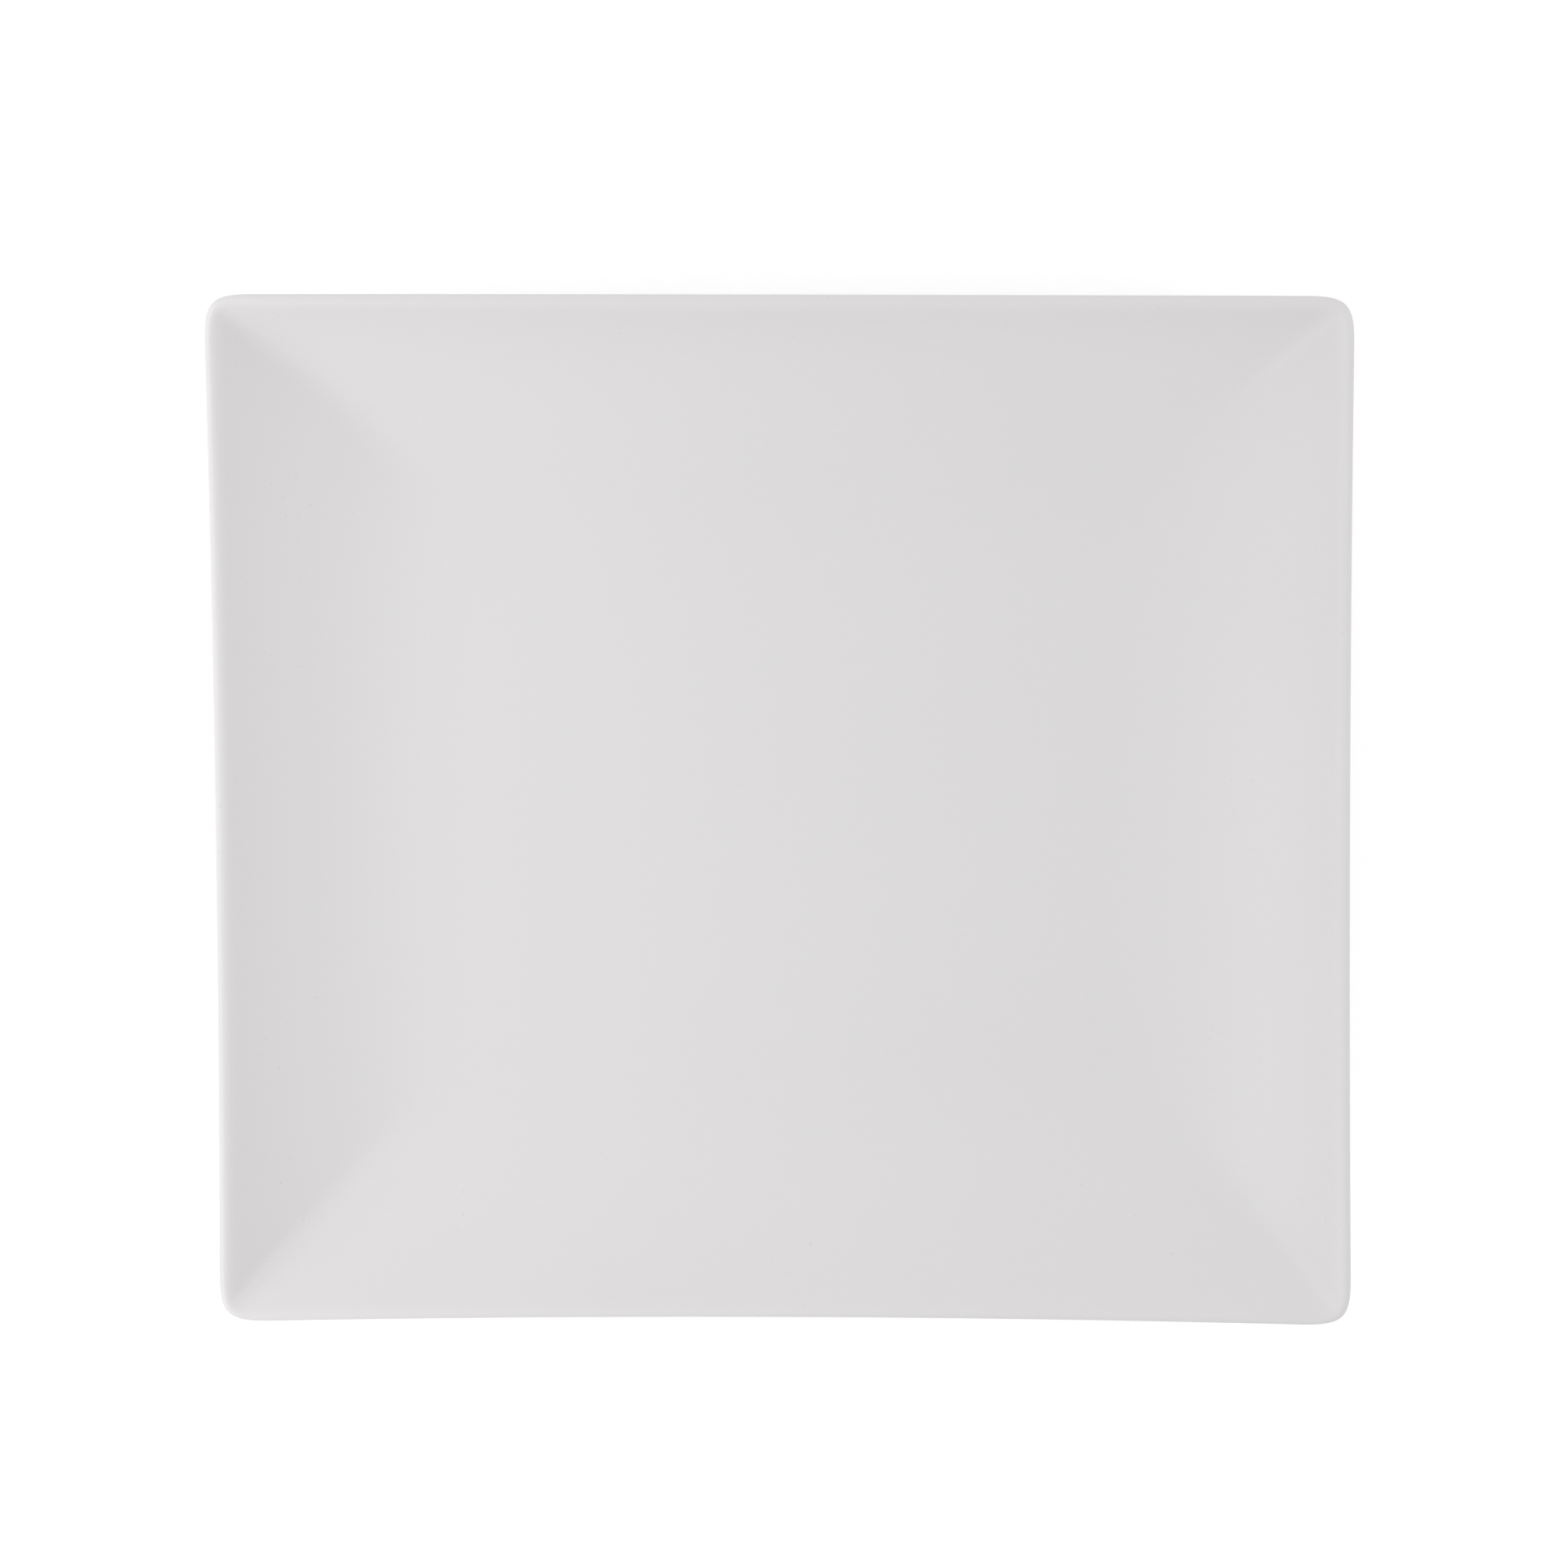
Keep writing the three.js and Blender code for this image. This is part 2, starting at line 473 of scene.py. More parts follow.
    def ring(self, station: Station) -> list[Vector]:
        """Draw a station's outline: eased turns joined by sides that bow in a little.

        Args:
            station: The station to draw.

        Returns:
            Its points, anticlockwise from above, from the start of the turn between +X and +Y on.
        """
        half_x = self.length / 2 - station.inset
        half_y = self.width / 2 - station.inset
        reach = min(station.reach, half_x, half_y)
        bow = self.side_bow * max(0.0, 1 - station.inset / self.band)
        ease = 1 - self.corner_tension
        turns = []
        for x, y in CORNERS:
            tip = Vector((x * half_x, y * half_y, station.height + station.lift))
            into = reach / 2 * Vector((x - y, x + y, 0))
            away = reach / 2 * Vector((-x - y, x - y, 0))
            handles = (tip - into, tip - ease * into, tip + ease * away, tip + away)
            turns.append(interpolate_bezier(*handles, self.corner_steps + 1))
        points = []
        for turn, corner in enumerate(turns):
            start, end = corner[-1], turns[(turn + 1) % len(turns)][0]
            inward = Vector((start.y - end.y, end.x - start.x, 0)).normalized()
            sag = bow * inward - Vector((0, 0, station.lift))
            points += corner
            for along in steps_between(0.0, 1.0, self.side_steps)[1:-1]:
                points.append(start.lerp(end, along) + 4 * along * (1 - along) * sag)
        middle = Vector((0, 0, station.height))
        return [middle.lerp(point, station.spread) for point in points]

    def depths(self, station: Station) -> list[float]:
        """Give the depth of the glaze on each point of a ring, with what pools in the creases.

        Args:
            station: The ring's station.

        Returns:
            A share of a full coat for each point, in the ring's order.
        """
        along_side = steps_between(-1.0, 1.0, self.side_steps)[1:-1]
        side = [abs(along) ** self.pool_power for along in along_side]
        corner_shares = ([1.0] * (self.corner_steps + 1) + side) * len(CORNERS)
        return [station.depth + station.pool * share * station.spread for share in corner_shares]


class RingSkin:
    """A skin grown ring by ring over the stations of a plate."""

    def __init__(self, form: PlateForm, first: Station) -> None:
        """Start the skin from a circle laid on the first station.

        Args:
            form: The plate's form, which draws the rings.
            first: The station of the first ring.
        """
        self.form = form
        self.mesh = bmesh.new()
        self.place = self.mesh.verts.layers.int.new("place")
        self.depth = self.mesh.verts.layers.float.new(GLAZE_DEPTH)
        circle = bmesh.ops.create_circle(self.mesh, segments=form.ring_count, radius=form.width)
        for place, vert in enumerate(circle["verts"]):
            vert[self.place] = place
        self.edges = list(self.mesh.edges)
        self.first_edges = self.edges
        self._lay(circle["verts"], first)

    def _lay(self, verts: list[bmesh.types.BMVert], station: Station) -> None:
        """Move a ring of vertices onto a station, each to its own place.

        Args:
            verts: The ring's vertices, in any order.
            station: The station to lay them on.
        """
        points = self.form.ring(station)
        depths = self.form.depths(station)
        for vert in verts:
            vert.co = points[vert[self.place]]
            vert[self.depth] = depths[vert[self.place]]

    def _extrude(self, edges: list[bmesh.types.BMEdge]) -> list[bmesh.types.BMVert]:
        """Extrude a ring of edges in place and give the new ring's vertices."""
        grown = bmesh.ops.extrude_edge_only(self.mesh, edges=edges)["geom"]
        return [part for part in grown if isinstance(part, bmesh.types.BMVert)]

    def grow(self, stations: list[Station]) -> None:
        """Grow the skin over more stations, one after another.

        Args:
            stations: The stations to reach.
        """
        for station in stations:
            verts = self._extrude(self.edges)
            fresh = set(verts)
            spokes = {edge for vert in verts for edge in vert.link_edges}
            self.edges = [edge for edge in spokes if fresh.issuperset(edge.verts)]
            self._lay(verts, station)

    def _close_middle(self, edges: list[bmesh.types.BMEdge]) -> None:
        """Close a ring of edges with a fan about its middle.

        Args:
            edges: The ring of edges.
        """
        verts = self._extrude(edges)
        middle = sum((vert.co for vert in verts), Vector()) / len(verts)
        bmesh.ops.pointmerge(self.mesh, verts=verts, merge_co=middle)

    def close_ends(self) -> None:
        """Close the first and the last ring, each about its middle."""
        self._close_middle(self.first_edges)
        self._close_middle(self.edges)

    def close_loop(self) -> None:
        """Join the last ring to the first."""
        bmesh.ops.bridge_loops(self.mesh, edges=self.edges + self.first_edges)

    def piece(self, name: str, crisp: float) -> bpy.types.Object:
        """Make the skin an object.

        Args:
            name: The object's name.
            crisp: The angle, in radians, past which an edge stays sharp.

        Returns:
            The object, linked to the scene.
        """
        bmesh.ops.recalc_face_normals(self.mesh, faces=self.mesh.faces)
        self.mesh.verts.layers.int.remove(self.place)
        data = bpy.data.meshes.new(name)
        self.mesh.to_mesh(data)
        self.mesh.free()
        data.shade_smooth()
        data.set_sharp_from_angle(angle=crisp)
        made = bpy.data.objects.new(name, data)
        bpy.context.scene.collection.objects.link(made)
        return made


class NodeBench:
    """A cleared node tree on the bench, of a material or of the room."""

    def __init__(self, tree: bpy.types.NodeTree) -> None:
        """Clear the tree."""
        self.tree = tree
        self.tree.nodes.clear()

    def add(
        self, kind: str, inputs: dict[str | int, object] | None = None, **settings: object
    ) -> bpy.types.Node:
        """Add a node.

        Args:
            kind: The node's type.
            inputs: What goes into its sockets: another node's output, or a plain value.
            settings: The node's own properties.

        Returns:
            The node.
        """
        node = self.tree.nodes.new(kind)
        for name, value in settings.items():
            setattr(node, name, value)
        for key, value in (inputs or {}).items():
            if isinstance(value, Socket):
                self.tree.links.new(value, node.inputs[key])
            else:
                node.inputs[key].default_value = value
        return node

    def seen_directly(self) -> Socket:
        """Tell what is seen straight, in a reflection or through glass from what only lights other things.

        Returns:
            1 on what is seen, and 0 elsewhere.
        """
        path = self.add("ShaderNodeLightPath")
        seen = path.outputs["Is Camera Ray"]
        for other in ("Is Glossy Ray", "Is Transmission Ray"):
            sockets = {0: seen, 1: path.outputs[other]}
            seen = self.add("ShaderNodeMath", sockets, operation="MAXIMUM").outputs[0]
        return seen


class FinishBench(NodeBench):
    """A new material's nodes on the bench, with short calls for those that the finishes share."""

    def __init__(self, name: str) -> None:
        """Start a material and read the piece's own coordinates.

        Args:
            name: The material's name.
        """
        self.material = bpy.data.materials.new(name)
        self.material.use_nodes = True
        super().__init__(self.material.node_tree)
        self.place = self.add("ShaderNodeTexCoord").outputs["Object"]

    def height(self) -> Socket:
        """Give the height on the piece, in metres."""
        return self.add("ShaderNodeSeparateXYZ", {"Vector": self.place}).outputs["Z"]

    def noise(self, size: float, detail: float = 2.0, seed: float = 0.0) -> Socket:
        """Make cloudy noise.

        Args:
            size: The width of a cloud, in metres.
            detail: How many finer layers it has.
            seed: Moves the pattern, in its own units.

        Returns:
            The noise, from 0 to 1.
        """
        moved = self.add("ShaderNodeMapping", {"Vector": self.place, "Location": (seed, seed, seed)})
        sockets = {"Vector": moved.outputs["Vector"], "Scale": 1 / size, "Detail": detail}
        return self.add("ShaderNodeTexNoise", sockets).outputs["Fac"]

    def levels(self, value: Socket, span: Span, to: Span = RISING) -> Socket:
        """Stretch a value from one range to another and clamp it there.

        Args:
            value: The value.
            span: The range that it is taken from.
            to: The range that it is brought to.

        Returns:
            The stretched value.
        """
        sockets = {
            "Value": value,
            "From Min": span[0],
            "From Max": span[1],
            "To Min": to[0],
            "To Max": to[1],
        }
        return self.add("ShaderNodeMapRange", sockets).outputs["Result"]

    def times(self, first: Socket, *others: Socket) -> Socket:
        """Multiply values.

        Args:
            first: The first value.
            others: The values that it is multiplied by.

        Returns:
            The product.
        """
        product = first
        for other in others:
            product = self.add("ShaderNodeMath", {0: product, 1: other}, operation="MULTIPLY").outputs[0]
        return product

    def blend(self, share: Socket, low: Colour, high: Colour) -> Socket:
        """Blend from one colour to another by a share from 0 to 1."""
        sockets = {MIX_SHARE: share, MIX_FIRST: (*low, 1.0), MIX_SECOND: (*high, 1.0)}
        return self.add("ShaderNodeMix", sockets, data_type="RGBA").outputs[MIX_RESULT]

    def shade(self, colour: Socket, factor: Socket) -> Socket:
        """Darken or lighten a colour by a factor.

        Args:
            colour: The colour.
            factor: The factor, which may vary over the surface.

        Returns:
            The shaded colour.
        """
        sockets = {MIX_SHARE: 1.0, MIX_FIRST: colour, MIX_SECOND: factor}
        mixed = self.add("ShaderNodeMix", sockets, data_type="RGBA", blend_type="MULTIPLY")
        return mixed.outputs[MIX_RESULT]

    def bump(self, height: Socket, depth: float, under: Socket | None = None) -> Socket:
        """Raise the surface by a height map.

        Args:
            height: The map, from 0 to 1.
            depth: How far a full step of it stands up, in metres.
            under: The normal of a coarser bump below this one.

        Returns:
            The bumped normal.
        """
        sockets = {"Height": height, "Distance": depth, "Strength": 1.0}
        if under is not None:
            sockets["Normal"] = under
        return self.add("ShaderNodeBump", sockets).outputs["Normal"]

    def surface(self, **inputs: object) -> bpy.types.Material:
        """Finish with a principled surface.

        Args:
            inputs: Its sockets by name, with _ for a space.

        Returns:
            The material.
        """
        sockets = {name.replace("_", " "): value for name, value in inputs.items()}
        shader = self.add("ShaderNodeBsdfPrincipled", sockets)
        self.add("ShaderNodeOutputMaterial", {"Surface": shader.outputs["BSDF"]})
        return self.material


@dataclass(frozen=True)
class SatinGlaze:
    """Satin off-white glaze: milky, a little thin on the rim, with soft clouds and a few pinholes.

    Attributes:
        milk: Its colour where it lies thick.
        warmth: What tints that where it lies thin.
        milky_from: The share of a full coat from which it counts as thick.
        cloud_size: The width of its clouds.
        cloud_shades: How they darken and lighten it.
        mottle_size: The width of its fine mottle.
        mottle_shades: How that darkens and lightens it.
        roughness: Its roughness from the dark of a cloud to the pale.
        pinhole_spacing: About how far apart pinholes may lie.
        pinhole_radius: The radius of a pinhole.
        pinhole_core: The share of that over which it is full.
        pinhole_chance: The lots below which a pinhole is left out and above which it is full.
        pinhole_group: The width of a loose group of them.
        group_edge: The noise over which a group begins.
        pinhole_sides: The heights between which they set in, above the well.
        pinhole_shade: How a pinhole darkens the glaze.
        pinhole_depth: How deep it is.
        ripple_size: The width of the slow ripple that the glaze dried with.
        ripple_depth: Its height.
        grain_size: The width of the satin grain.
        grain_depth: Its height.
    """

    milk: Colour
    warmth: Colour = (1.006, 1.0, 0.993)
    milky_from: float = 0.5
    cloud_size: float = 70 * MM
    cloud_shades: Span = (0.996, 1.003)
    mottle_size: float = 1.6 * MM
    mottle_shades: Span = (0.997, 1.003)
    roughness: Span = (0.47, 0.40)
    pinhole_spacing: float = 3.2 * MM
    pinhole_radius: float = 0.4 * MM
    pinhole_core: float = 0.6
    pinhole_chance: Span = (0.3, 0.8)
    pinhole_group: float = 32 * MM
    group_edge: Span = (0.56, 0.64)
    pinhole_sides: Span = (10 * MM, 13 * MM)
    pinhole_shade: float = 0.93
    pinhole_depth: float = 0.02 * MM
    ripple_size: float = 14 * MM
    ripple_depth: float = 0.02 * MM
    grain_size: float = 0.9 * MM
    grain_depth: float = 0.0012 * MM

    def material(self) -> bpy.types.Material:
        """Mix the glaze.

        Returns:
            The material.
        """
        bench = FinishBench("satin_glaze")
        depth = bench.add("ShaderNodeAttribute", attribute_name=GLAZE_DEPTH).outputs["Fac"]
        thin = tuple(part * warm for part, warm in zip(self.milk, self.warmth))
        tone = bench.blend(bench.levels(depth, (0.0, self.milky_from)), thin, self.milk)
        clouds = bench.noise(self.cloud_size, detail=3.0)
        mottle = bench.noise(self.mottle_size, detail=1.0, seed=3.0)
        pinholes = self.pinholes(bench)
        shades = bench.times(
            bench.levels(clouds, CLOUD_SPAN, self.cloud_shades),
            bench.levels(mottle, CLOUD_SPAN, self.mottle_shades),
            bench.levels(pinholes, RISING, (1.0, self.pinhole_shade)),
        )
        ripple = bench.bump(bench.noise(self.ripple_size, detail=1.0, seed=7.0), self.ripple_depth)
        grain = bench.bump(bench.noise(self.grain_size, detail=1.0, seed=11.0), self.grain_depth, ripple)
        return bench.surface(
            Base_Color=bench.shade(tone, shades),
            Roughness=bench.levels(clouds, CLOUD_SPAN, self.roughness),
            IOR=CERAMIC_IOR,
            Normal=bench.bump(bench.levels(pinholes, RISING, FALLING), self.pinhole_depth, grain),
        )

    def pinholes(self, bench: FinishBench) -> Socket:
        """Scatter pinholes in loose groups on the sloping sides.

        Args:
            bench: The bench of the glaze's nodes.

        Returns:
            1 in a pinhole and 0 outside.
        """
        sockets = {"Vector": bench.place, "Scale": 1 / self.pinhole_spacing, "Randomness": 1.0}
        cells = bench.add("ShaderNodeTexVoronoi", sockets, feature="F1")
        radius = self.pinhole_radius / self.pinhole_spacing
        holes = bench.levels(cells.outputs["Distance"], (self.pinhole_core * radius, radius), FALLING)
        lots = bench.add("ShaderNodeSeparateColor", {"Color": cells.outputs["Color"]}).outputs["Red"]
        groups = bench.noise(self.pinhole_group, detail=0.0, seed=19.0)
        return bench.times(
            holes,
            bench.levels(lots, self.pinhole_chance),
            bench.levels(groups, self.group_edge),
            bench.levels(bench.height(), self.pinhole_sides),
        )


@dataclass(frozen=True)
class BarePorcelain:
    """Bare fired porcelain on the foot: warm, matt and finely grained, ground grey on the tread.

    Attributes:
        biscuit: Its colour.
        pale: What lightens its pale blotches.
        deep: What darkens its deep ones.
        blotch_size: Their width.
        ground: What darkens the ground tread.
        tread_edge: The heights over which that fades out.
        grain_size: The width of its grain.
        grain_depth: Its height.
        grain_shades: How the grain darkens and lightens it.
        roughness: Its roughness from the dark of the grain to the pale.
    """

    biscuit: Colour
    pale: float = 1.04
    deep: float = 0.95
    blotch_size: float = 18 * MM
    ground: float = 0.93
    tread_edge: Span = (0.12 * MM, 0.36 * MM)
    grain_size: float = 0.5 * MM
    grain_depth: float = 0.012 * MM
    grain_shades: Span = (0.94, 1.05)
    roughness: Span = (0.90, 0.74)

    def material(self) -> bpy.types.Material:
        """Mix the bare porcelain.

        Returns:
            The material.
        """
        bench = FinishBench("bare_porcelain")
        blotches = bench.levels(bench.noise(self.blotch_size, detail=3.0, seed=2.0), CLOUD_SPAN)
        tone = bench.blend(blotches, shaded(self.biscuit, self.deep), shaded(self.biscuit, self.pale))
        grain = bench.noise(self.grain_size, detail=2.0, seed=5.0)
        shades = bench.times(
            bench.levels(grain, GRAIN_SPAN, self.grain_shades),
            bench.levels(bench.height(), self.tread_edge, (self.ground, 1.0)),
        )
        return bench.surface(
            Base_Color=bench.shade(tone, shades),
            Roughness=bench.levels(grain, GRAIN_SPAN, self.roughness),
            IOR=CERAMIC_IOR,
            Normal=bench.bump(grain, self.grain_depth),
        )


@dataclass(frozen=True)
class FiredPorcelain:
    """The fired body: pale and matt, seen only on the lines wiped clear beside the foot.

    Attributes:
        clay: Its colour.
        pale: What lightens the pale of its grain.
        deep: What darkens the dark of it.
        grain_size: The width of its grain.
        grain_depth: Its height.
        roughness: Its roughness from the dark of the grain to the pale.
    """

    clay: Colour
    pale: float = 1.03
    deep: float = 0.96
    grain_size: float = 0.7 * MM
    grain_depth: float = 0.008 * MM
    roughness: Span = (0.84, 0.70)

    def material(self) -> bpy.types.Material:
        """Mix the fired porcelain.

        Returns:
            The material.
        """
        bench = FinishBench("fired_porcelain")
        grain = bench.noise(self.grain_size, detail=2.0, seed=8.0)
        grainy = bench.levels(grain, CLOUD_SPAN)
        return bench.surface(
            Base_Color=bench.blend(grainy, shaded(self.clay, self.deep), shaded(self.clay, self.pale)),
            Roughness=bench.levels(grain, CLOUD_SPAN, self.roughness),
            IOR=CERAMIC_IOR,
            Normal=bench.bump(grain, self.grain_depth),
        )


@dataclass(frozen=True)
class PlateLayer:
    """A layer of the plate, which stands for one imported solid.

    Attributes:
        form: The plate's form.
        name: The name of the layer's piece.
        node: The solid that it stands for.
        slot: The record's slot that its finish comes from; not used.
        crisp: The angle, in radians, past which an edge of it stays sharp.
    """

    form: PlateForm
    name: str
    node: Node
    slot: Slot
    crisp: float

    def skin(self, rings: list[Station], looped: bool = False) -> bpy.types.Object:
        """Grow the layer's piece over its rings.

        Args:
            rings: Its stations in order.
            looped: Whether the last ring joins the first, instead of both closing about their middles.

        Returns:
            The piece.
        """
        skin = RingSkin(self.form, rings[0])
        skin.grow(rings[1:])
        if looped:
            skin.close_loop()
        else:
            skin.close_ends()
        return skin.piece(self.name, self.crisp)

    def dress(self, piece: bpy.types.Object, material: bpy.types.Material) -> None:
        """Give a piece its finish and set it on the plate in its solid's place.

        Args:
            piece: The piece.
            material: Its finish.
        """
        piece.data.materials.append(material)
        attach(piece, BODY)
        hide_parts(self.node.value)


@dataclass(frozen=True)
class FiredBody(PlateLayer):
    """The porcelain of the well, the sides and the rim, flat underneath where the foot joins."""

    name: str = "fired_body"
    node: Node = Node.BODY
    slot: Slot = Slot.FIRED
    crisp: float = math.radians(40)
    fineness: Fineness = Fineness(well=4, dish=30, inside_lip=6, outside_lip=9, under_lip=8, flank=24)
    base_spread: float = 0.5

    def stations(self) -> list[Station]:
        """Give the stations that the glaze lies on, from the middle of the well to the wiped line."""
        return [self.form.under_glaze(station) for station in self.form.glazed(self.fineness)]

    def build(self) -> bpy.types.Object:
        """Grow the body, closed underneath by its flat base.

        Returns:
            The piece.
        """
        base = Station(self.form.foot_inset, self.form.foot_height, self.form.foot_reach)
        return self.skin([*self.stations(), base, replace(base, spread=self.base_spread)])


@dataclass(frozen=True)
class FaceCoat(PlateLayer):
    """The glaze over the well, the sides, the rim and the flank, with a rounded edge at the wiped line."""

    name: str = "face_coat"
    node: Node = Node.FACE
    slot: Slot = Slot.GLAZE
    crisp: float = math.radians(60)
    fineness: Fineness = Fineness(well=12, dish=48, inside_lip=10, outside_lip=14, under_lip=12, flank=36)
    bead_steps: int = 6

    def bead(self, edge: Station) -> list[Station]:
        """Round the edge where the glaze stops.

        Args:
            edge: The last station of the glazed surface.

        Returns:
            Stations round half a circle, from the glazed surface to the porcelain.
        """
        radius = self.form.glaze / 2
        rounded = []
        for turn in steps_between(-QUARTER_TURN, QUARTER_TURN, self.bead_steps)[1:-1]:
            sunk = self.form.under_glaze(edge, (1 + math.sin(turn)) / 2)
            back = radius * (math.cos(turn) - 1)
            rounded.append(replace(sunk, inset=sunk.inset + back, depth=self.form.thin_glaze))
        return rounded

    def build(self, porcelain: list[Station]) -> bpy.types.Object:
        """Grow the coat.

        Args:
            porcelain: The stations of the surface that it lies on.

        Returns:
            The piece.
        """
        *glazed, edge = self.form.glazed(self.fineness)
        drawn_back = replace(edge, inset=edge.inset - self.form.glaze / 2)
        return self.skin([*glazed, drawn_back, *self.bead(edge), *reversed(porcelain)])


@dataclass(frozen=True)
class RecessCoat(PlateLayer):
    """The glaze in the recess inside the foot ring, with a rounded edge all round."""

    name: str = "recess_coat"
    node: Node = Node.RECESS
    slot: Slot = Slot.GLAZE
    crisp: float = math.radians(60)
    bead_steps: int = 6
    floor_steps: int = 8

    def build(self) -> bpy.types.Object:
        """Grow the coat.

        Returns:
            The piece.
        """
        form = self.form
        radius = form.glaze / 2
        rim = []
        for turn in steps_between(0.0, math.pi, self.bead_steps):
            offset = form.foot_width + form.wipe_gap + radius * (1 - math.sin(turn))
            rim.append(form.on_foot(offset, form.foot_height - radius * (1 - math.cos(turn))))
        shares = steps_between(0.0, 1.0, self.floor_steps)[1:-1]
        above = [replace(rim[0], spread=share) for share in shares]
        below = [replace(rim[-1], spread=share) for share in reversed(shares)]
        return self.skin(above + rim + below)


@dataclass(frozen=True)
class FootRing(PlateLayer):
    """The bare foot ring: walls that lean in a little, and a flat tread between two rounded edges.

    Attributes:
        taper: How far each wall leans in towards the tread.
        rounding: The radius of the two edges of the tread.
        round_steps: How many steps each of them has.
    """

    name: str = "bare_foot"
    node: Node = Node.FOOT
    slot: Slot = Slot.BARE
    crisp: float = math.radians(40)
    taper: float = 0.5 * MM
    rounding: float = 0.9 * MM
    round_steps: int = 8

    def build(self) -> bpy.types.Object:
        """Grow the ring round its section.

        Returns:
            The piece.
        """
        form = self.form
        top = form.foot_height
        outer, inner = [], []
        for turn in steps_between(math.atan(self.taper / top), QUARTER_TURN, self.round_steps):
            offset = self.taper + self.rounding * (1 - math.cos(turn))
            height = self.rounding * (1 - math.sin(turn))
            outer.append(form.on_foot(offset, height))
            inner.append(form.on_foot(form.foot_width - offset, height))
        root = [form.on_foot(form.foot_width, top), form.on_foot(0.0, top)]
        return self.skin([*root, *outer, *reversed(inner)], looped=True)


@dataclass(frozen=True)
class StudioPaper:
    """Pale matt paper, with a share of plain white where it is seen directly.

    Attributes:
        tone: Its colour.
        pale: What lightens its pale clouds.
        cloud_size: Their width.
        white_share: The share of plain white.
        glow: How bright that is.
    """

    tone: Colour = (0.92, 0.92, 0.925)
    pale: float = 1.01
    cloud_size: float = 0.3
    white_share: float = 0.6
    glow: float = 1.23

    def material(self) -> bpy.types.Material:
        """Mix the paper.

        Returns:
            The material.
        """
        bench = FinishBench("studio_paper")
        tone = bench.blend(bench.noise(self.cloud_size), self.tone, shaded(self.tone, self.pale))
        matt = bench.add("ShaderNodeBsdfDiffuse", {"Color": tone})
        white = bench.add("ShaderNodeEmission", {"Color": WHITE, "Strength": self.glow})
        share = bench.levels(bench.seen_directly(), RISING, (0.0, self.white_share))
        mixed = bench.add("ShaderNodeMixShader", {0: share, 1: matt.outputs[0], 2: white.outputs[0]})
        bench.add("ShaderNodeOutputMaterial", {"Surface": mixed.outputs[0]})
        return bench.material


@dataclass(frozen=True)
class Lamp:
    """A square soft box aimed at the plate.

    Attributes:
        name: The lamp's name.
        turn: The direction that it stands in, anticlockwise from +X, in degrees.
        rise: Its angle above the table, in degrees.
        distance: How far it hangs from the plate.
        power: Its strength, in watts.
        size: The width of its front.
    """

    name: str
    turn: float
    rise: float
    distance: float
    power: float
    size: float = 0.3

    def build(self, target: Vector) -> None:
        """Hang the lamp.

        Args:
            target: The point that it is aimed at.
        """
        light = bpy.data.lights.new(self.name, "AREA")
        light.size = self.size
        light.energy = self.power
        turn, rise = math.radians(self.turn), math.radians(self.rise)
        level = Vector((math.cos(turn), math.sin(turn), 0))
        hung = bpy.data.objects.new(self.name, light)
        hung.location = target + self.distance * (math.cos(rise) * level + Vector((0, 0, math.sin(rise))))
        hung.rotation_euler = (target - hung.location).to_track_quat("-Z", "Y").to_euler()
        hung.visible_camera = False
        bpy.context.scene.collection.objects.link(hung)


@dataclass(frozen=True)
class StudioCamera:
    """A long lens that looks down at the plate.

    Attributes:
        lens: Its focal length, in millimetres.
        distance: How far it stands from the point that it looks at.
        lean: How far it stands from straight above towards the +Y side, in degrees.
        side: How far it stands towards the +X side, in degrees.
        roll: How far it is turned about its line of sight, in degrees.
        look_height: The height of the point on the plate that it looks at.
        pan: How far it is moved right and up, square to its line of sight.
    """

    lens: float = 374.0
    distance: float = 4.0
    lean: float = 15.74
    side: float = 1.79
    roll: float = -0.35
    look_height: float = 29 * MM
    pan: tuple[float, float] = (0.46 * MM, 6.42 * MM)

    def build(self) -> None:
        """Stand the camera above the plate and make it the scene's own."""
        lean, side, roll = (math.radians(angle) for angle in (self.lean, self.side, self.roll))
        back = Vector((math.sin(side), math.sin(lean) * math.cos(side), math.cos(lean) * math.cos(side)))
        level = Vector((0, 1, 0)).cross(back).normalized()
        upright = back.cross(level)
        right = level * math.cos(roll) + upright * math.sin(roll)
        up = upright * math.cos(roll) - level * math.sin(roll)
        data = bpy.data.cameras.new("studio_camera")
        data.lens = self.lens
        camera = bpy.data.objects.new("studio_camera", data)
        target = Vector((0, 0, self.look_height))
        place = target + right * self.pan[0] + up * self.pan[1] + back * self.distance
        camera.matrix_world = Matrix.Translation(place) @ Matrix((right, up, back)).transposed().to_4x4()
        bpy.context.scene.collection.objects.link(camera)
        bpy.context.scene.camera = camera


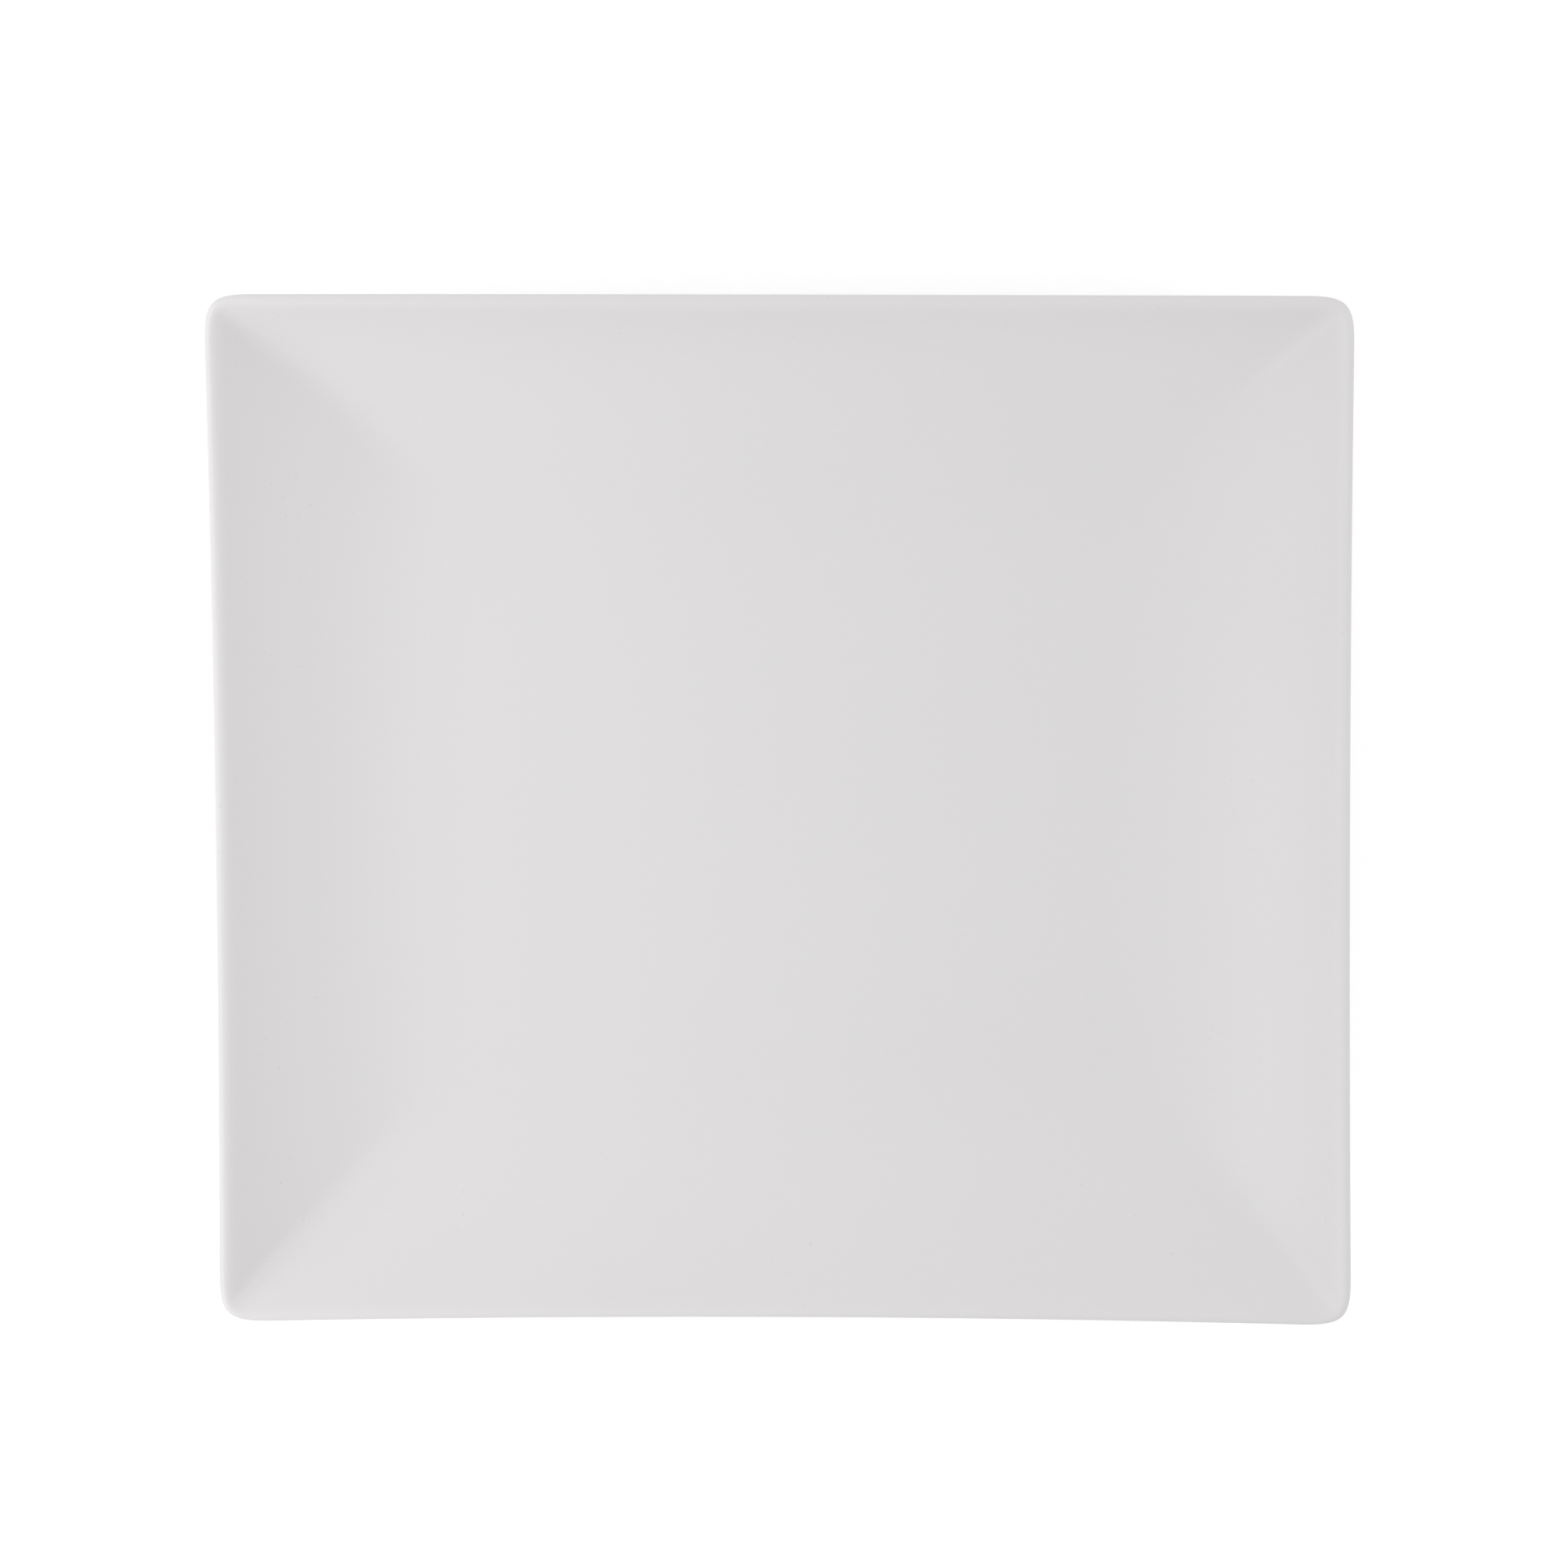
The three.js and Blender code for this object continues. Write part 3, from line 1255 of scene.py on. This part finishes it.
@dataclass(frozen=True)
class Studio:
    """A pale paper floor, an even white room, soft boxes, and the camera that looks down at the plate.

    Attributes:
        ambient: The strength of the room's light.
        paper: The floor's finish.
        floor_reach: How far the floor reaches to each side.
        floor_gap: How far it lies under the foot.
        lamp_aim: The height of the point that the lamps are aimed at.
        lamps: The soft boxes.
        camera: The camera.
    """

    ambient: float = 0.728
    paper: StudioPaper = StudioPaper()
    floor_reach: float = 14.0
    floor_gap: float = 0.05 * MM
    lamp_aim: float = 20 * MM
    lamps: tuple[Lamp, ...] = (
        Lamp("key_box", turn=160, rise=30, distance=0.5, power=0.487),
        Lamp("corner_box", turn=220, rise=30, distance=0.5, power=0.375),
        Lamp("fill_box", turn=15, rise=35, distance=1.0, power=1.152),
        Lamp("back_box", turn=90, rise=15, distance=1.0, power=0.438),
        Lamp("front_box", turn=270, rise=15, distance=1.0, power=0.139),
    )
    camera: StudioCamera = StudioCamera()

    def build(self) -> None:
        """Set up the room, the floor, the lamps and the camera."""
        self.light_room()
        self.lay_floor()
        for lamp in self.lamps:
            lamp.build(Vector((0, 0, self.lamp_aim)))
        self.camera.build()
        bpy.context.scene.view_settings.view_transform = "Standard"

    def light_room(self) -> None:
        """Light the room evenly, and show it white."""
        world = bpy.data.worlds.new("studio_room")
        world.use_nodes = True
        bpy.context.scene.world = world
        bench = NodeBench(world.node_tree)
        glow = bench.add("ShaderNodeBackground", {"Color": WHITE, "Strength": self.ambient})
        white = bench.add("ShaderNodeBackground", {"Color": WHITE})
        shares = {0: bench.seen_directly(), 1: glow.outputs[0], 2: white.outputs[0]}
        mixed = bench.add("ShaderNodeMixShader", shares)
        bench.add("ShaderNodeOutputWorld", {"Surface": mixed.outputs[0]})

    def lay_floor(self) -> None:
        """Lay the paper floor under the foot, shown near white but with the plate's shadow on it."""
        sheet = bmesh.new()
        bmesh.ops.create_grid(sheet, x_segments=1, y_segments=1, size=self.floor_reach)
        bmesh.ops.translate(sheet, verts=sheet.verts, vec=(0, 0, -self.floor_gap))
        data = bpy.data.meshes.new("paper_floor")
        sheet.to_mesh(data)
        sheet.free()
        data.materials.append(self.paper.material())
        floor = bpy.data.objects.new("paper_floor", data)
        bpy.context.scene.collection.objects.link(floor)


def main() -> None:
    """Build the plate layer by layer, then the studio round it."""
    logging.basicConfig(level=logging.INFO, format="%(name)s: %(message)s")
    form = PlateForm.from_frame()
    glaze = SatinGlaze(slot_colour(Slot.GLAZE)).material()
    fired = FiredPorcelain(slot_colour(Slot.FIRED)).material()
    bare = BarePorcelain(slot_colour(Slot.BARE)).material()

    body, coat, recess, foot = FiredBody(form), FaceCoat(form), RecessCoat(form), FootRing(form)
    made = [
        (body, body.build(), fired),
        (coat, coat.build(body.stations()), glaze),
        (recess, recess.build(), glaze),
        (foot, foot.build(), bare),
    ]
    for layer, piece, finish in made:
        layer.dress(piece, finish)
        log.info("%s stands for %s with %d faces", piece.name, layer.node.value, len(piece.data.polygons))

    Studio().build()


if __name__ == "__main__":
    main()
